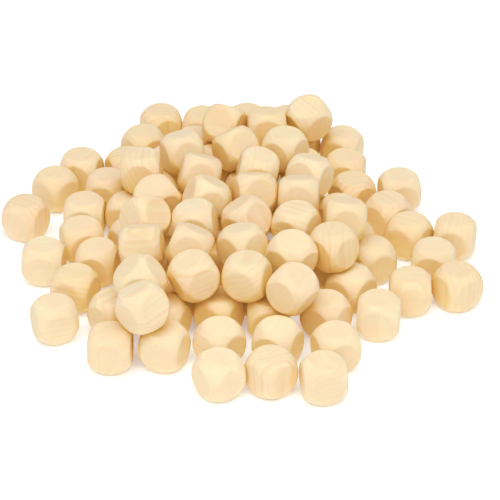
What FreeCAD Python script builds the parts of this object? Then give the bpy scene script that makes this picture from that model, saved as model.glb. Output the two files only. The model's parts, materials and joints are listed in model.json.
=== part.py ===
import FreeCAD, Part
import math
import os
import random

# One hundred blank wooden dice, lying in a heap on a table as they were tipped out.
# Each die is a small cube of pale hardwood that was tumbled until the corners and edges
# followed a ball, so only six round flats are left of the cube.

# ---------------------------------------------------------------- driving dimensions (mm)

SIDE = 16.0                # across two opposite flats of one die
HALF = SIDE / 2.0
BALL = 1.27 * HALF         # radius of the ball outline that takes off corners and edges
EASE = 0.06 * SIDE         # radius of the sanded edge round each flat
GAP = 0.008 * SIDE         # clear space left between dice that touch
LIFT = 3.0 * SIDE          # how far a loose die is lifted to clear the heap

# The heap is two layers of loose rows that run from side to side. The origin of the rows is
# the middle of the heap, with x to the right and y to the back.
TABLE_FRONT = -5.3 * SIDE  # the front row of the dice that stand on the table
TABLE_PITCH = 1.17 * SIDE  # from one table row to the next one behind it
TABLE_STEP = 1.26 * SIDE   # from one die to the next along a table row
UPPER_FRONT = -4.2 * SIDE  # the front row of the dice that lie on others
UPPER_PITCH = 1.25 * SIDE  # from one upper row to the next
UPPER_STEP = 1.25 * SIDE   # from one die to the next along an upper row
STAGGER = 0.25             # share of a step that the rows are set over, to right and left in turn
STRAY = 0.18 * SIDE        # how far a die strays from its place in its row
SCATTER = 8                # start of the run of chance that strays and turns the dice

# Where each row ends on the left and on the right, in die sides from the middle of the heap,
# from the front row to the back one. These ends are the outline of the heap.
TABLE_ENDS = [
    (-0.1, 1.9), (-3.7, 1.8), (-4.1, 3.4), (-4.5, 4.7), (-4.6, 4.8), (-4.4, 4.9),
    (-5.3, 4.0), (-5.3, 3.4), (-4.2, 2.8), (-3.0, 2.2), (-2.0, 1.2),
]
UPPER_ENDS = [
    (-2.1, -2.1), (-2.9, 0.4), (-2.3, 2.1), (-2.9, 1.7),
    (-2.1, 1.5), (-2.9, 1.3), (-1.4, 1.3), (-1.2, 0.7),
]

MIDDLE = 2.4 * SIDE        # half the width of the zone called the middle of the heap
FULL_TURN = 360.0          # degrees
SQUARE_TURN = 90.0         # a die looks the same again after this turn

# How a die that is let down comes to rest.
FALL = 6.0 * SIDE          # height it is let down from
TOUCH = 0.02               # it has landed when it is this near to what is below it
CREEP = 0.4                # first downward step of a die that slides into a hollow
HOLD = 0.86                # a contact that faces up more than this carries the die
DRIFT = 0.45 * SIDE        # how far it may slide sideways
PUSHES = 300               # rounds in which table dice push each other apart, at the most
LEAN_MOST = 42.0           # degrees that a die jammed between others leans at the most
BEARINGS = 8               # directions it can lean in, of which it takes the lowest

# ---------------------------------------------------------------- vectors


def dot(a, b):
    return a[0] * b[0] + a[1] * b[1] + a[2] * b[2]


def minus(a, b):
    return (a[0] - b[0], a[1] - b[1], a[2] - b[2])


def plus(a, b, k=1.0):
    return (a[0] + k * b[0], a[1] + k * b[1], a[2] + k * b[2])


def cross(a, b):
    return (a[1] * b[2] - a[2] * b[1], a[2] * b[0] - a[0] * b[2], a[0] * b[1] - a[1] * b[0])


def axes_of(turn, lean=0.0, toward=0.0):
    """The three axes of a die turned about the upright, then leaning toward a bearing."""
    t, l, w = (math.radians(v) for v in (turn, lean, toward))
    hinge = (-math.sin(w), math.cos(w), 0.0)
    c, s = math.cos(l), math.sin(l)
    axes = []
    for v in ((math.cos(t), math.sin(t), 0.0), (-math.sin(t), math.cos(t), 0.0), (0.0, 0.0, 1.0)):
        k = dot(hinge, v) * (1.0 - c)
        turned = cross(hinge, v)
        axes.append(tuple(c * v[i] + s * turned[i] + k * hinge[i] for i in range(3)))
    return axes


# ---------------------------------------------------------------- clearance between two dice
# A die is its core, the die made smaller by the radius of its sanded edges, with that radius
# grown back all round. So the open distance between two dice is the distance between their
# cores less two such radii.

CORE_HALF = HALF - EASE
CORE_BALL = BALL - EASE
CORE_RIM = math.sqrt(CORE_BALL ** 2 - CORE_HALF ** 2)


def far_point(die, d):
    """The point of a die's core that lies farthest along d."""
    centre, (ax, ay, az), raised = die
    l = (dot(ax, d), dot(ay, d), dot(az, d))
    size = math.sqrt(dot(l, l))
    big = max(range(3), key=lambda i: abs(l[i]))
    if CORE_BALL * abs(l[big]) <= CORE_HALF * size:
        p = [CORE_BALL * v / size for v in l]
    else:
        flat = math.sqrt(max(size * size - l[big] * l[big], 1e-18))
        p = [CORE_RIM * v / flat for v in l]
        p[big] = math.copysign(CORE_HALF, l[big])
    up = raised if d[2] > 0.0 else 0.0
    return (centre[0] + p[0] * ax[0] + p[1] * ay[0] + p[2] * az[0],
            centre[1] + p[0] * ax[1] + p[1] * ay[1] + p[2] * az[1],
            centre[2] + p[0] * ax[2] + p[1] * ay[2] + p[2] * az[2] + up)


def nearest_on_line(a, b):
    ab = minus(b, a)
    t = -dot(a, ab) / max(dot(ab, ab), 1e-18)
    if t <= 0.0:
        return a, [a]
    if t >= 1.0:
        return b, [b]
    return plus(a, ab, t), [a, b]


def nearest_on_triangle(a, b, c):
    ab, ac = minus(b, a), minus(c, a)
    d1, d2 = -dot(ab, a), -dot(ac, a)
    if d1 <= 0.0 and d2 <= 0.0:
        return a, [a]
    d3, d4 = -dot(ab, b), -dot(ac, b)
    if d3 >= 0.0 and d4 <= d3:
        return b, [b]
    vc = d1 * d4 - d3 * d2
    if vc <= 0.0 and d1 >= 0.0 and d3 <= 0.0:
        return plus(a, ab, d1 / (d1 - d3)), [a, b]
    d5, d6 = -dot(ab, c), -dot(ac, c)
    if d6 >= 0.0 and d5 <= d6:
        return c, [c]
    vb = d5 * d2 - d1 * d6
    if vb <= 0.0 and d2 >= 0.0 and d6 <= 0.0:
        return plus(a, ac, d2 / (d2 - d6)), [a, c]
    va = d3 * d6 - d5 * d4
    if va <= 0.0 and d4 - d3 >= 0.0 and d5 - d6 >= 0.0:
        w = (d4 - d3) / ((d4 - d3) + (d5 - d6))
        return plus(b, minus(c, b), w), [b, c]
    k = 1.0 / (va + vb + vc)
    return plus(plus(a, ab, vb * k), ac, vc * k), [a, b, c]


def nearest_on_solid(a, b, c, d):
    best = None
    inside = True
    for p, q, r, s in ((a, b, c, d), (a, c, d, b), (a, d, b, c), (b, d, c, a)):
        n = cross(minus(q, p), minus(r, p))
        side = dot(n, minus(s, p))
        if side * -dot(n, p) < 0.0 or abs(side) < 1e-12:
            inside = False
            v, kept = nearest_on_triangle(p, q, r)
            if best is None or dot(v, v) < dot(best[0], best[0]):
                best = (v, kept)
    if inside or best is None:
        return (0.0, 0.0, 0.0), [a, b, c, d]
    return best


def clearance(one, two):
    """Open distance between two dice, below zero where they bite, and the way from two to one."""
    between = minus(one[0], two[0])
    v = between
    points = []
    for _ in range(40):
        w = minus(far_point(one, (-v[0], -v[1], -v[2])), far_point(two, v))
        vv = dot(v, v)
        if points and vv - dot(v, w) <= 1e-4 * max(vv, 1e-9):
            break
        points.append(w)
        if len(points) == 1:
            v = points[0]
        elif len(points) == 2:
            v, points = nearest_on_line(*points)
        elif len(points) == 3:
            v, points = nearest_on_triangle(*points)
        else:
            v, points = nearest_on_solid(*points)
        if dot(v, v) < 1e-8:
            size = math.sqrt(dot(between, between))
            return -2.0 * EASE, tuple(b / size for b in between)
    size = math.sqrt(dot(v, v))
    return size - 2.0 * EASE, (v[0] / size, v[1] / size, v[2] / size)


# ---------------------------------------------------------------- places in the rows


def in_rows(ends, front, pitch, step, chance):
    """Places along the rows, every second row set over, and each one strayed a little."""
    places = []
    for row, (left, right) in enumerate(ends):
        gaps = round((right - left) * SIDE / step)
        shift = (STAGGER if row % 2 else -STAGGER) * step
        for n in range(gaps + 1):
            along = left + (right - left) * n / max(gaps, 1)
            x = along * SIDE + shift + chance.uniform(-STRAY, STRAY)
            y = front + row * pitch + chance.uniform(-STRAY, STRAY)
            places.append((x, y))
    return places


def zone_of(x, y):
    """The part of the heap that a table die stands in."""
    depth = len(TABLE_ENDS) * TABLE_PITCH
    if y < TABLE_FRONT + depth / 4.0:
        return "front"
    if y > TABLE_FRONT + depth * 3.0 / 4.0:
        return "back"
    if abs(x) < MIDDLE:
        return "middle"
    return "left" if x < 0.0 else "right"


# ---------------------------------------------------------------- bringing the dice to rest


def bites(die, others):
    """What stands nearer to a die than the gap: how much nearer, and the way out."""
    found = []
    for other in others:
        d = minus(die[0], other[0])
        if dot(d, d) < (2.0 * BALL + GAP) ** 2:
            open_now, way = clearance(die, other)
            if open_now < GAP:
                found.append((GAP - open_now, way))
    return found


def spread(dice):
    """Dice flat on the table push each other apart until none bite."""
    dice = list(dice)
    for _ in range(PUSHES):
        worst = 0.0
        for i in range(len(dice)):
            for j in range(i):
                for bite, way in bites(dice[i], [dice[j]]):
                    worst = max(worst, bite)
                    flat = (way[0], way[1], 0.0)
                    dice[i] = (plus(dice[i][0], flat, 0.5 * bite), dice[i][1], 0.0)
                    dice[j] = (plus(dice[j][0], flat, -0.5 * bite), dice[j][1], 0.0)
        if worst < TOUCH:
            break
    return dice


def height(centre, axes):
    """How far the lowest point of a die is above the table."""
    return far_point((centre, axes, 0.0), (0.0, 0.0, -1.0))[2] - EASE


def let_down(x, y, axes, below):
    """A die straight down onto the first thing under it."""
    centre = (x, y, FALL)
    while True:
        step = min(HALF / 2.0, height(centre, axes))
        for other in below:
            d = minus(centre, other[0])
            if dot(d, d) < (2.0 * BALL + HALF) ** 2:
                step = min(step, clearance((centre, axes, 0.0), other)[0] - GAP)
        if step < TOUCH:
            return centre
        centre = plus(centre, (0.0, 0.0, -step))


def slide_down(x, y, centre, axes, below):
    """A landed die slides off what is steep under it until it is held."""
    creep = CREEP
    while creep > TOUCH:
        trial = plus(centre, (0.0, 0.0, -creep))
        for _ in range(12):
            found = bites((trial, axes, 0.0), below)
            for bite, way in found:
                if way[2] > HOLD:
                    trial = plus(trial, (0.0, 0.0, bite / way[2]))
                else:
                    trial = plus(trial, way, bite)
            trial = plus(trial, (0.0, 0.0, max(0.0, -height(trial, axes))))
            worst = max([bite for bite, way in found], default=0.0)
            if worst < 0.25 * TOUCH:
                break
        moved = math.hypot(trial[0] - x, trial[1] - y)
        if worst < 0.5 * TOUCH and trial[2] < centre[2] - 0.15 * creep and moved < DRIFT:
            centre = trial
        else:
            creep *= 0.5
    return centre


def roll_to_rest(x, y, settled, chance):
    """A die let down at a place with a chance lean, in the direction that brings it lowest."""
    below = [d for d in settled if math.hypot(d[0][0] - x, d[0][1] - y) < 2.0 * BALL + DRIFT + GAP]
    turn = chance.uniform(0.0, SQUARE_TURN)
    lean = chance.uniform(0.0, LEAN_MOST)
    first = chance.uniform(0.0, FULL_TURN)
    lowest = None
    for k in range(BEARINGS):
        axes = axes_of(turn, lean, first + FULL_TURN * k / BEARINGS)
        centre = slide_down(x, y, let_down(x, y, axes, below), axes, below)
        if lowest is None or centre[2] < lowest[0][2]:
            lowest = (centre, axes, 0.0)
    return lowest


def come_to_rest():
    """Every die of the heap at rest, with the zone it is counted in."""
    chance = random.Random(SCATTER)
    table = []
    for x, y in in_rows(TABLE_ENDS, TABLE_FRONT, TABLE_PITCH, TABLE_STEP, chance):
        table.append(((x, y, HALF), axes_of(chance.uniform(0.0, SQUARE_TURN)), 0.0))
    dice = spread(table)
    zones = [zone_of(die[0][0], die[0][1]) for die in dice]
    for x, y in in_rows(UPPER_ENDS, UPPER_FRONT, UPPER_PITCH, UPPER_STEP, chance):
        dice.append(roll_to_rest(x, y, dice, chance))
        zones.append("upper")
    return zones, dice


def is_loose(index, dice):
    """True when nothing is in the way of lifting this die straight up off the heap."""
    centre, axes, _ = dice[index]
    rising = (centre, axes, LIFT)
    for other in range(len(dice)):
        if other == index:
            continue
        d = minus(dice[other][0], centre)
        if math.hypot(d[0], d[1]) > 2.0 * BALL + GAP:
            continue
        if clearance(rising, dice[other])[0] < 0.5 * GAP:
            return False
    return True


# ---------------------------------------------------------------- the solids


def die_solid():
    """A cube inside a ball, with the edge round each of the six flats sanded soft."""
    cube = Part.makeBox(SIDE, SIDE, SIDE, FreeCAD.Vector(-HALF, -HALF, -HALF))
    ball = Part.makeSphere(BALL)
    solid = cube.common(ball).Solids[0]
    rims = [e for e in solid.Edges if e.Curve.TypeId == "Part::GeomCircle" and e.Curve.Radius < 0.95 * BALL]
    return solid.makeFillet(EASE, rims).Solids[0]


def set_down(solid, die, origin):
    centre, (ax, ay, az), _ = die
    x, y, z = minus(centre, origin)
    place = FreeCAD.Matrix(ax[0], ay[0], az[0], x, ax[1], ay[1], az[1], y, ax[2], ay[2], az[2], z, 0, 0, 0, 1)
    placed = solid.copy()
    placed.Placement = FreeCAD.Placement(place)
    return placed


def reach(die, d):
    """How far a die reaches along a unit direction."""
    return dot(far_point(die, d), d) + EASE


def main():
    os.makedirs("parts", exist_ok=True)
    zones, dice = come_to_rest()
    left = min(-reach(d, (-1.0, 0.0, 0.0)) for d in dice)
    right = max(reach(d, (1.0, 0.0, 0.0)) for d in dice)
    front = min(-reach(d, (0.0, -1.0, 0.0)) for d in dice)
    back = max(reach(d, (0.0, 1.0, 0.0)) for d in dice)
    top = max(reach(d, (0.0, 0.0, 1.0)) for d in dice)
    origin = ((left + right) / 2.0, (front + back) / 2.0, 0.0)
    blank = die_solid()
    print("one die", round(blank.Volume, 1), "mm3, valid", blank.isValid(), "faces", len(blank.Faces))
    nodes = {}
    counts = {}
    for i, die in enumerate(dice):
        zone = zones[i]
        counts[zone] = counts.get(zone, 0) + 1
        if is_loose(i, dice):
            name = "%s_die_%02d" % (zone, counts[zone])
        else:
            name = "%s_dice_under" % zone
        nodes.setdefault(name, []).append(set_down(blank, die, origin))
    for name, solids in nodes.items():
        shape = solids[0] if len(solids) == 1 else Part.makeCompound(solids)
        shape.exportStep("parts/%s.step" % name)
    loose = sum(is_loose(i, dice) for i in range(len(dice)))
    print("dice", len(dice), "nodes", len(nodes), "loose", loose)
    foot = minus(dice[0][0], origin)
    print("heap", round(right - left, 1), "x", round(back - front, 1), "x", round(top, 1), "mm")
    print("middle of the first die's underside", round(foot[0], 3), round(foot[1], 3), 0.0)
    print("middle of the heap's box from its counting point", round(origin[0], 3), round(origin[1], 3))


main()
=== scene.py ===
# %% [markdown]
# A heap of small blank wooden dice, tipped out on a table. This script dresses the packed
# solids: each die is modelled again as a mesh with its own piece of wood, then the heap is
# lit and seen from a little above. The cells below go piece by piece.

# %% Load the frame
import bpy
import bmesh
import json
import math
import random
import numpy as np
from mathutils import Matrix, Vector, noise

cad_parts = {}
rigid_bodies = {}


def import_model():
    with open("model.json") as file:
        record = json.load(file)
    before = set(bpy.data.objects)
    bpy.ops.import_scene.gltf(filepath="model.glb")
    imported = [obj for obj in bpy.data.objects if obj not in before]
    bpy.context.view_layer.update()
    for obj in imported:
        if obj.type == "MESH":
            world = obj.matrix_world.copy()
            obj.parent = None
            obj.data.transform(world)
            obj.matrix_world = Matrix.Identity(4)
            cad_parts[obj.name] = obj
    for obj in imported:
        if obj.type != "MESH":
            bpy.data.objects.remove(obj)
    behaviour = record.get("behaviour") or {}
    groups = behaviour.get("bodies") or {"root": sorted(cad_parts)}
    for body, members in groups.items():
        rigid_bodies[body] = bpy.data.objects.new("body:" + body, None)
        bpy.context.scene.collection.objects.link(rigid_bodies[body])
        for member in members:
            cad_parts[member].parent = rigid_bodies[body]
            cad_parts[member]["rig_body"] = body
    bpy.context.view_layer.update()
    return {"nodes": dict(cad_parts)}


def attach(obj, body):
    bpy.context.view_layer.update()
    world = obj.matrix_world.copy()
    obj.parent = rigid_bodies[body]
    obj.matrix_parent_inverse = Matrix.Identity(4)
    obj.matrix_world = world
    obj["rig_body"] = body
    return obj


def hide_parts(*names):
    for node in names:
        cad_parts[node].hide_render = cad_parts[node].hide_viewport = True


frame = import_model()
MM = 0.001

# %% [markdown]
# Where the dice lie. A die is a cube inside a ball, so its solid has six round flats, and
# the flats are its largest faces by far. Their normals give the three directions of the die
# and their middles give its centre. Reading the places back from the solids keeps the two
# models together: when the heap is laid out again, the looks follow it.

# %% Find every die in the solids
WELD = 0.002 * MM               # corners closer than this are one corner
CELLS = 1 << 20                 # cells of that size kept free on the minus side of the origin
TURN_CELLS = 400.0              # cells that the length of a normal is divided into
SAME_WAY = 0.95                 # cosine above which two flats are taken for the same one
ONE_FLAT = 0.9995               # cosine above which a triangle belongs to a flat
FLATS = 6


def triangles_of(node):
    """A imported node's corners, each kept once, and its triangles, as two arrays."""
    mesh = frame["nodes"][node].data
    co = np.empty(len(mesh.vertices) * 3, np.float32)
    mesh.vertices.foreach_get("co", co)
    tri = np.empty(len(mesh.loops), np.int32)
    mesh.loops.foreach_get("vertex_index", tri)
    grid = np.round(co.reshape(-1, 3).astype(np.float64) / WELD).astype(np.int64) + CELLS
    key = (grid[:, 0] << 42) + (grid[:, 1] << 21) + grid[:, 2]
    _, first, once = np.unique(key, return_index=True, return_inverse=True)
    return co.reshape(-1, 3)[first].astype(np.float64), once.ravel()[tri].reshape(-1, 3)


def separate(tri, corners):
    """A number for each triangle, the same for all that hang together in one solid."""
    label = np.arange(corners)
    while True:
        low = label[tri].min(axis=1)
        before = label.copy()
        for k in range(3):
            np.minimum.at(label, tri[:, k], low)
        label = label[label]
        if (label == before).all():
            return label[tri[:, 0]]


def flats_of(a, b, c):
    """The six largest flat patches of one solid: their normals and middles."""
    cross = np.cross(b - a, c - a)
    area = np.linalg.norm(cross, axis=1) / 2.0
    normal = cross / np.maximum(area[:, None] * 2.0, 1e-15)
    seen, patch = np.unique(np.round(normal * TURN_CELLS).astype(int), axis=0, return_inverse=True)
    total = np.bincount(patch.ravel(), area, len(seen))
    flats = []
    for k in np.argsort(-total):
        way = Vector((seen[k] / TURN_CELLS).tolist()).normalized()
        if any(way.dot(other) > SAME_WAY for other, _ in flats):
            continue
        mine = np.asarray(normal @ np.array(way) > ONE_FLAT)
        weight = area[mine] / area[mine].sum()
        middle = ((a + b + c)[mine] / 3.0 * weight[:, None]).sum(axis=0)
        flats.append((Vector((normal[mine] * weight[:, None]).sum(axis=0).tolist()).normalized(),
                      Vector(middle.tolist())))
        if len(flats) == FLATS:
            return flats


def dice_of(node):
    """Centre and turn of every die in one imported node, in a steady order."""
    corners, tri = triangles_of(node)
    solid = separate(tri, len(corners))
    found = []
    for number in np.unique(solid):
        a, b, c = (corners[tri[solid == number, k]] for k in range(3))
        flats = flats_of(a, b, c)
        centre = sum((middle for _, middle in flats), Vector()) / len(flats)
        x = flats[0][0]
        y = next(n for n, _ in flats if abs(n.dot(x)) < 0.1)
        y = (y - x * y.dot(x)).normalized()
        turn = Matrix((x, y, x.cross(y))).transposed()
        across = 2.0 * sum(middle.dot(n) - centre.dot(n) for n, middle in flats) / len(flats)
        found.append((centre, turn, across))
    return sorted(found, key=lambda die: (round(die[0].x, 4), round(die[0].y, 4)))


BODY_OF = {name: node["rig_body"] for name, node in frame["nodes"].items()}
dice = [(node, i, *die) for node in sorted(BODY_OF) for i, die in enumerate(dice_of(node))]
SIDE = sum(die[4] for die in dice) / len(dice)
HALF = SIDE / 2.0
print("dice", len(dice), "across the flats %.2f mm" % (SIDE / MM))

# %% [markdown]
# The blank. On the real die a tumbling drum wears a cube down until its corners and edges
# follow a ball. It could be made by cutting a sphere with six planes, but that leaves
# slivers along every rim, which shade badly. Here a cube is divided into a grid and its
# vertices are moved: the square rings of each side's grid become round rings, so the flat,
# its softened rim and the ball each get their own clean loops of faces.

# %% Model the blank
BALL = 1.27 * HALF              # radius of the ball that the corners and edges follow
RIM = 0.18 * HALF               # radius of the soft edge round each flat
LOOPS = 10                      # rings of faces from the middle of a side to its edge
FLAT_LOOPS = 5                  # of them on the flat
RIM_LOOPS = 3                   # and on its soft edge
FLAT_SHARES = (0.0, 0.3, 0.58, 0.8, 0.95, 1.0)  # how far out the flat's rings lie
WEAR_SORTS = ((1.0, 1.0), (0.988, 1.3), (0.994, 0.8))  # ball and soft edge of each blank
LUMP_SIZE = 6.0 * MM            # width of one uneven patch of wear
LUMP_DEPTH = 0.10 * MM
WORN_FROM = 1.05 * HALF         # the wear starts this far from the middle, off the flats


def profile(loop, ball, rim):
    """Distance from the flat's middle, and height, of one round loop of the die."""
    core_half, core_ball = HALF - rim, ball - rim
    flat = math.sqrt(core_ball ** 2 - core_half ** 2)
    if loop <= FLAT_LOOPS:
        return flat * FLAT_SHARES[loop], HALF
    tilt = math.acos(core_half / core_ball) * (loop - FLAT_LOOPS) / RIM_LOOPS
    return flat + rim * math.sin(tilt), core_half + rim * math.cos(tilt)


def blank_point(co, ball, rim):
    """Moves one vertex of the divided cube, two wide, onto the worn die."""
    axis = max(range(3), key=lambda i: abs(co[i]))
    a, b = (axis + 1) % 3, (axis + 2) % 3
    s, t, sign = co[a], co[b], math.copysign(1.0, co[axis])
    m = max(abs(s), abs(t))
    if m < 1e-6:
        point = Vector((0.0, 0.0, 0.0))
        point[axis] = sign * HALF
        return point
    if abs(s) >= abs(t):
        bearing = math.pi / 4.0 * t / s + (math.pi if s < 0 else 0.0)
        off = abs(math.pi / 4.0 * t / s)
    else:
        bearing = math.pi / 2.0 - math.pi / 4.0 * s / t + (math.pi if t < 0 else 0.0)
        off = abs(math.pi / 4.0 * s / t)
    loop = round(m * LOOPS)
    worn = FLAT_LOOPS + RIM_LOOPS
    if loop <= worn:
        out, up = profile(loop, ball, rim)
    else:
        first = math.acos((HALF - rim) / (ball - rim))
        last = math.atan(1.0 / math.cos(off))
        angle = first + (last - first) * (loop - worn) / (LOOPS - worn)
        out, up = ball * math.sin(angle), ball * math.cos(angle)
    point = Vector((0.0, 0.0, 0.0))
    point[axis] = sign * up
    point[a], point[b] = out * math.cos(bearing), out * math.sin(bearing)
    return point


def make_blank(ball, rim):
    """A worn die at the origin, as a mesh that placed copies are taken from."""
    bm = bmesh.new()
    bmesh.ops.create_cube(bm, size=2.0)
    bmesh.ops.subdivide_edges(bm, edges=bm.edges[:], cuts=2 * LOOPS - 1, use_grid_fill=True)
    for vert in bm.verts:
        vert.co = blank_point(vert.co, ball, rim)
    bmesh.ops.recalc_face_normals(bm, faces=bm.faces)
    for face in bm.faces:
        face.smooth = True
    mesh = bpy.data.meshes.new("blank")
    bm.to_mesh(mesh)
    bm.free()
    return mesh


blanks = [make_blank(BALL * k, RIM * r) for k, r in WEAR_SORTS]
tallest = max(vert.co.z for vert in blanks[0].vertices)
farthest = max(vert.co.length for vert in blanks[0].vertices)
print("blank: faces", len(blanks[0].polygons), "half height and ball, mm:",
      round(tallest / MM, 2), round(farthest / MM, 2))

# %% [markdown]
# Each die's own wood. The dice were sawn from square sticks of a pale, even hardwood, so
# fibres run straight through a die from one flat to the opposite one, and growth rings
# cross it as part of a much larger circle. A picture wrapped round the die couldn't do
# that. Instead every vertex remembers where in the tree it was: along the fibre, and two
# distances from the middle of the trunk. A pattern on that place runs through the die as
# real wood does, with arcs on two flats and lines on the other four.

# %% Give a die its place in the tree


def log_frame(rng):
    """A turn that lays the fibre along x, and where in the trunk the die was sawn."""
    fibre = rng.choice((0, 1, 2))
    order = (fibre, (fibre + 1) % 3, (fibre + 2) % 3)
    rows = [Vector([1.0 if i == k else 0.0 for i in range(3)]) for k in order]
    turn = Matrix(rows)
    spin = Matrix.Rotation(rng.uniform(0.0, 2.0 * math.pi), 3, "X")
    stray = Matrix.Rotation(math.radians(rng.gauss(0.0, 3.0)), 3, "Z")
    start = Vector((rng.uniform(0.0, 900.0), rng.uniform(30.0, 90.0), rng.uniform(-20.0, 20.0)))
    return stray @ spin @ turn, start


def dress(mesh, centre, turn, rng):
    """Stores, on a placed mesh, its place in the tree, end grain, and the stick's character."""
    to_log, start = log_frame(rng)
    count = len(mesh.vertices)
    co, normal = np.empty(count * 3, np.float32), np.empty(count * 3, np.float32)
    mesh.vertices.foreach_get("co", co)
    mesh.vertices.foreach_get("normal", normal)
    local_to_log = np.array(to_log) @ np.array(turn.transposed())
    place = (co.reshape(-1, 3) - np.array(centre)) @ local_to_log.T / MM + np.array(start)
    along = np.abs(normal.reshape(-1, 3) @ local_to_log.T)[:, 0]
    character = [rng.random(), rng.random(), rng.random()]
    mesh.attributes.new("tree_place", "FLOAT_VECTOR", "POINT").data.foreach_set(
        "vector", place.astype(np.float32).ravel())
    mesh.attributes.new("end_grain", "FLOAT", "POINT").data.foreach_set(
        "value", along.astype(np.float32))
    mesh.attributes.new("stick", "FLOAT_VECTOR", "POINT").data.foreach_set(
        "vector", np.tile(np.array(character, np.float32), count))


def place_die(node, index, centre, turn, rng):
    """One die as a mesh in its place, riding on the body of its node."""
    mesh = blanks[rng.randrange(len(blanks))].copy()
    wear = Vector((rng.uniform(0, 99), rng.uniform(0, 99), rng.uniform(0, 99)))
    for vert in mesh.vertices:
        if vert.co.length > WORN_FROM:
            lump = 0.5 + 0.5 * noise.noise(vert.co / LUMP_SIZE + wear)
            vert.co -= vert.co.normalized() * (lump * LUMP_DEPTH)
    mesh.transform(Matrix.Translation(centre) @ turn.to_4x4())
    mesh.name = "die_%s_%02d" % (node, index)
    dress(mesh, centre, turn, rng)
    die = bpy.data.objects.new(mesh.name, mesh)
    bpy.context.scene.collection.objects.link(die)
    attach(die, BODY_OF[node])
    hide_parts(node)
    return die


shown = [place_die(node, index, centre, turn, random.Random("%s/%d" % (node, index)))
         for node, index, centre, turn, _ in dice]
for mesh in blanks:
    bpy.data.meshes.remove(mesh)
print("placed", len(shown), "dice,", sum(len(d.data.polygons) for d in shown) * 2, "triangles")

# %% [markdown]
# Small helpers for building node trees. A tree is a list of nodes and links, so a function
# that adds a node, sets its values and links its inputs keeps each material short.

# %% Node helpers


class Tree:
    """Adds nodes to a node tree, each with its settings and links in one call."""

    def __init__(self, tree):
        self.tree = tree

    def add(self, kind, inputs=None, **settings):
        node = self.tree.nodes.new(kind)
        for name, value in settings.items():
            setattr(node, name, value)
        for name, value in (inputs or {}).items():
            if isinstance(value, bpy.types.NodeSocket):
                self.tree.links.new(value, node.inputs[name])
            else:
                node.inputs[name].default_value = value
        return node

    def math(self, operation, *values):
        return self.add("ShaderNodeMath", dict(enumerate(values)), operation=operation).outputs[0]

    def vector(self, operation, *values):
        node = self.add("ShaderNodeVectorMath", dict(enumerate(values)), operation=operation)
        return node.outputs["Value" if operation in ("LENGTH", "DOT_PRODUCT") else "Vector"]

    def ramp(self, value, low, high):
        """Value from low to high, eased and kept between 0 and 1."""
        node = self.add("ShaderNodeMapRange", {0: value, 1: low, 2: high, 3: 0.0, 4: 1.0},
                        interpolation_type="SMOOTHSTEP")
        return node.outputs[0]

    def mix(self, share, one, two):
        node = self.add("ShaderNodeMix", data_type="RGBA")
        for index, value in ((0, share), (6, one), (7, two)):
            if isinstance(value, bpy.types.NodeSocket):
                self.tree.links.new(value, node.inputs[index])
            else:
                node.inputs[index].default_value = value
        return node.outputs[2]


def new_group(name, inputs, outputs):
    """An empty node group with named sockets, and its two end nodes."""
    group = bpy.data.node_groups.new(name, "ShaderNodeTree")
    for label, kind, value in inputs:
        socket = group.interface.new_socket(label, in_out="INPUT", socket_type=kind)
        if value is not None:
            socket.default_value = value
    for label, kind in outputs:
        group.interface.new_socket(label, in_out="OUTPUT", socket_type=kind)
    tree = Tree(group)
    return group, tree, tree.add("NodeGroupInput"), tree.add("NodeGroupOutput")


# %% [markdown]
# Growth rings. A trunk adds one ring a year: pale early wood that darkens slowly into a
# thin late line, then starts pale again. So the pattern is a saw tooth of the distance from
# the trunk's middle, and each year has its own strength. A little noise bends the rings,
# because no tree is a true circle.

# %% Group: growth rings
rings, g, given, result = new_group(
    "growth rings",
    [("Place", "NodeSocketVector", None), ("Ring width", "NodeSocketFloat", 2.4),
     ("Wander", "NodeSocketFloat", 1.5)],
    [("Late wood", "NodeSocketFloat")])
stretch = g.vector("MULTIPLY", given.outputs["Place"], (0.25, 1.0, 1.0))
bend = g.add("ShaderNodeTexNoise", {"Vector": stretch, "Scale": 0.07, "Detail": 2.0},
             noise_dimensions="3D")
wander = g.math("MULTIPLY", g.math("SUBTRACT", bend.outputs["Fac"], 0.5), given.outputs["Wander"])
across_fibre = g.vector("MULTIPLY", given.outputs["Place"], (0.0, 1.0, 1.0))
radius = g.math("ADD", g.vector("LENGTH", across_fibre), g.math("MULTIPLY", wander, 6.0))
year = g.math("DIVIDE", radius, given.outputs["Ring width"])
season = g.math("FRACT", year)
darkens = g.ramp(season, 0.10, 0.80)
starts_again = g.math("SUBTRACT", 1.0, g.ramp(season, 0.80, 1.0))
whole = g.math("FLOOR", year)
good_year = g.add("ShaderNodeTexWhiteNoise", {"W": whole}, noise_dimensions="1D").outputs["Value"]
late = g.math("MULTIPLY", g.math("MULTIPLY", darkens, starts_again), g.math("ADD", 0.35, good_year))
g.tree.links.new(late, result.inputs["Late wood"])

# %% [markdown]
# Fibres and pores. Pale hardwood shows fine streaks along the fibre on its long faces, and
# the same fibres as fine dots where they are cut across. One noise that is stretched along
# the fibre gives both, because it is a pattern in the wood and not on the surface.

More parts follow.
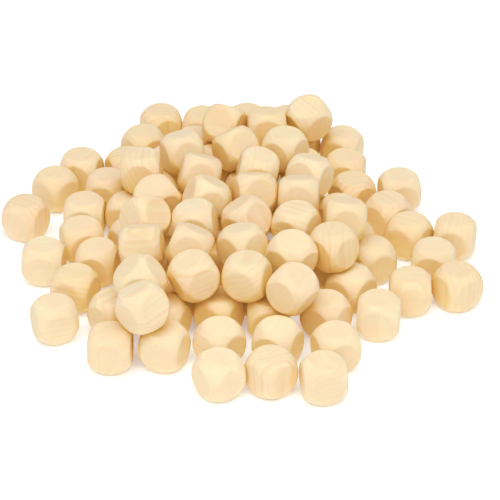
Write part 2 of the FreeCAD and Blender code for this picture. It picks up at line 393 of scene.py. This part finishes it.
# %% Group: fibres
fibres, g, given, result = new_group(
    "fibres",
    [("Place", "NodeSocketVector", None), ("Stretch", "NodeSocketFloat", 0.05)],
    [("Streak", "NodeSocketFloat"), ("Pore", "NodeSocketFloat"), ("Cloud", "NodeSocketFloat")])
parts = g.add("ShaderNodeSeparateXYZ", {"Vector": given.outputs["Place"]})
along = g.math("MULTIPLY", parts.outputs["X"], given.outputs["Stretch"])
squeezed = g.add("ShaderNodeCombineXYZ", {"X": along, "Y": parts.outputs["Y"],
                                          "Z": parts.outputs["Z"]})
streak = g.add("ShaderNodeTexNoise", {"Vector": squeezed.outputs[0], "Scale": 1.6, "Detail": 4.0,
                                      "Roughness": 0.65}, noise_dimensions="3D")
pore = g.add("ShaderNodeTexNoise", {"Vector": squeezed.outputs[0], "Scale": 6.5, "Detail": 2.0},
             noise_dimensions="3D")
cloud = g.add("ShaderNodeTexNoise", {"Vector": given.outputs["Place"], "Scale": 0.11, "Detail": 2.0},
              noise_dimensions="3D")
g.tree.links.new(streak.outputs["Fac"], result.inputs["Streak"])
g.tree.links.new(g.ramp(pore.outputs["Fac"], 0.60, 0.72), result.inputs["Pore"])
g.tree.links.new(cloud.outputs["Fac"], result.inputs["Cloud"])

# %% [markdown]
# The bare wood. It has no oil or lacquer, only sanding, so it is pale and nearly matt, with
# a faint sheen along the fibre. The colour starts from the stick's own tone, cream to honey
# with a little pink in some, and rings, streaks and end grain each darken it slightly.

# %% Material: bare sanded wood
bare = bpy.data.materials.new("bare_wood")
bare.use_nodes = True
bare.node_tree.nodes.clear()
w = Tree(bare.node_tree)
place = w.add("ShaderNodeAttribute", attribute_name="tree_place").outputs["Vector"]
end = w.add("ShaderNodeAttribute", attribute_name="end_grain").outputs["Fac"]
stick = w.add("ShaderNodeSeparateXYZ", {
    "Vector": w.add("ShaderNodeAttribute", attribute_name="stick").outputs["Vector"]})
ring_node = w.add("ShaderNodeGroup", node_tree=rings)
w.tree.links.new(place, ring_node.inputs["Place"])
fibre_node = w.add("ShaderNodeGroup", node_tree=fibres)
w.tree.links.new(place, fibre_node.inputs["Place"])

GLOW = 0.45                     # share of the light that passes a little way into the wood
GLOW_DEPTH = 1.6 * MM           # how far red light gets
GLOW_COLOUR = (1.0, 0.38, 0.10)  # green and blue get less far, so thin shadows turn amber
GRAIN_DEPTH = 0.08 * MM         # how deep sanding leaves the softer fibres
CREAM = (0.905, 0.750, 0.465, 1.0)
HONEY = (0.895, 0.690, 0.380, 1.0)
PEACH = (0.900, 0.665, 0.405, 1.0)
LATE = (0.820, 0.520, 0.235, 1.0)
END = (0.870, 0.650, 0.375, 1.0)
base = w.mix(stick.outputs["X"], CREAM, HONEY)
base = w.mix(w.math("MULTIPLY", w.ramp(stick.outputs["Y"], 0.55, 1.0), 0.7), base, PEACH)
patches = w.math("MULTIPLY", w.ramp(fibre_node.outputs["Cloud"], 0.38, 0.66), 0.60)
base = w.mix(patches, base, PEACH)
few_strong = w.math("POWER", stick.outputs["Z"], 2.0)
ring_strength = w.math("MULTIPLY", ring_node.outputs["Late wood"],
                       w.math("ADD", 0.06, w.math("MULTIPLY", few_strong, 0.38)))
base = w.mix(ring_strength, base, LATE)
streaks = w.math("MULTIPLY", w.ramp(fibre_node.outputs["Streak"], 0.42, 0.72), 0.16)
base = w.mix(streaks, base, LATE)
pores = w.math("MULTIPLY", fibre_node.outputs["Pore"], 0.08)
base = w.mix(pores, base, LATE)
cut_across = w.ramp(end, 0.80, 0.97)
base = w.mix(w.math("MULTIPLY", cut_across, 0.40), base, END)
rough = w.math("ADD", 0.56, w.math("MULTIPLY", fibre_node.outputs["Streak"], 0.16))
height = w.math("ADD", w.math("MULTIPLY", fibre_node.outputs["Streak"], 0.6),
                w.math("MULTIPLY", fibre_node.outputs["Pore"], -0.4))
bump = w.add("ShaderNodeBump", {"Height": height, "Strength": 0.25, "Distance": GRAIN_DEPTH})
wood = w.add("ShaderNodeBsdfPrincipled", {
    "Base Color": base, "Roughness": rough, "Normal": bump.outputs["Normal"],
    "IOR": 1.45, "Specular IOR Level": 0.25, "Subsurface Weight": GLOW,
    "Subsurface Scale": GLOW_DEPTH, "Subsurface Radius": GLOW_COLOUR})
w.add("ShaderNodeOutputMaterial", {"Surface": wood.outputs["BSDF"]})
for die in shown:
    die.data.materials.clear()
    die.data.materials.append(bare)
print("material", bare.name, "nodes", len(bare.node_tree.nodes))

# %% [markdown]
# The table is a plain pale sheet, wide enough to fill the view. It is part of the stage and
# not of the object. Very soft light from a big sheet above and in front, and weaker sheets
# at the sides, keeps the gaps warm without hard shadows.

# %% Stage: floor, light and camera
TABLE_REACH = 3.0               # metres from the heap to the edge of the sheet
bm = bmesh.new()
bmesh.ops.create_grid(bm, x_segments=1, y_segments=1, size=TABLE_REACH)
sheet = bpy.data.meshes.new("table_sheet")
bm.to_mesh(sheet)
bm.free()
table = bpy.data.objects.new("table_sheet", sheet)
bpy.context.scene.collection.objects.link(table)
white = bpy.data.materials.new("table_white")
white.use_nodes = True
paper = white.node_tree.nodes["Principled BSDF"]
paper.inputs["Base Color"].default_value = (0.96, 0.96, 0.96, 1.0)
paper.inputs["Emission Color"].default_value = (1.0, 1.0, 1.0, 1.0)
paper.inputs["Emission Strength"].default_value = 0.20
paper.inputs["Roughness"].default_value = 0.9
paper.inputs["Specular IOR Level"].default_value = 0.1
sheet.materials.append(white)


def softbox(name, place, aim, width, height, power, colour=(1.0, 1.0, 1.0)):
    """A rectangular sheet of light that faces a point."""
    lamp = bpy.data.lights.new(name, "AREA")
    lamp.shape, lamp.size, lamp.size_y = "RECTANGLE", width, height
    lamp.energy, lamp.color = power, colour
    holder = bpy.data.objects.new(name, lamp)
    holder.location = place
    holder.rotation_euler = (Vector(aim) - Vector(place)).to_track_quat("-Z", "Y").to_euler()
    bpy.context.scene.collection.objects.link(holder)
    return holder


SOFT_WHITE = (0.98, 0.99, 1.04)  # a little cool, as daylight through a white sheet
softbox("sheet_above", (0.0, -0.35, 1.1), (0.0, 0.0, 0.0), 1.3, 1.1, 13.2, SOFT_WHITE)
softbox("sheet_front", (0.0, -1.3, 0.75), (0.0, 0.0, 0.0), 1.4, 0.8, 3.9, SOFT_WHITE)
softbox("sheet_left", (-1.2, 0.0, 0.7), (0.0, 0.0, 0.0), 0.8, 0.8, 1.8, SOFT_WHITE)
softbox("sheet_right", (1.2, 0.0, 0.7), (0.0, 0.0, 0.0), 0.8, 0.8, 1.8, SOFT_WHITE)

world = bpy.data.worlds.new("room")
world.use_nodes = True
world.node_tree.nodes["Background"].inputs["Color"].default_value = (1.0, 1.0, 1.0, 1.0)
world.node_tree.nodes["Background"].inputs["Strength"].default_value = 0.19
bpy.context.scene.world = world
film = bpy.context.scene.view_settings
film.view_transform = "Standard"

# %% [markdown]
# The print. A catalogue picture of bare wood is printed warm: its shadows keep their red and
# lose their blue, and its lit faces stay cream. Three curves do that, one for each colour,
# and none of them moves black or white.

# %% Tone curves
WARM_CURVES = {
    0: ((0.25, 0.32), (0.52, 0.605), (0.88, 0.895)),
    1: ((0.20, 0.20), (0.32, 0.33), (0.64, 0.68)),
    2: ((0.08, 0.045), (0.16, 0.11), (0.37, 0.425), (0.62, 0.65)),
}
film.use_curve_mapping = True
for channel, points in WARM_CURVES.items():
    curve = film.curve_mapping.curves[channel]
    for x, y in points:
        curve.points.new(x, y)
film.curve_mapping.update()
print("tone curves", len(WARM_CURVES))

# %% [markdown]
# The camera stands in front of the heap and looks down on it at about a third of a right
# angle. It is about four heap widths away and has a long lens, so the dice at the back are hardly
# smaller than those in front.

# %% Camera
VIEW_HEIGHT = math.radians(32.0)
VIEW_DISTANCE = 0.800
LENS = 145.6                    # on a sensor 36 mm wide
AIM = Vector((0.0049, -0.0090, HALF))
camera = bpy.data.cameras.new("camera")
camera.sensor_width = 36.0
camera.lens = LENS
camera.clip_start = 0.05
viewer = bpy.data.objects.new("camera", camera)
viewer.location = AIM + Vector((0.0, -math.cos(VIEW_HEIGHT), math.sin(VIEW_HEIGHT))) * VIEW_DISTANCE
viewer.rotation_euler = (math.pi / 2.0 - VIEW_HEIGHT, 0.0, 0.0)
bpy.context.scene.collection.objects.link(viewer)
bpy.context.scene.camera = viewer
print("lens %.1f mm at %.0f mm" % (camera.lens, VIEW_DISTANCE / MM))
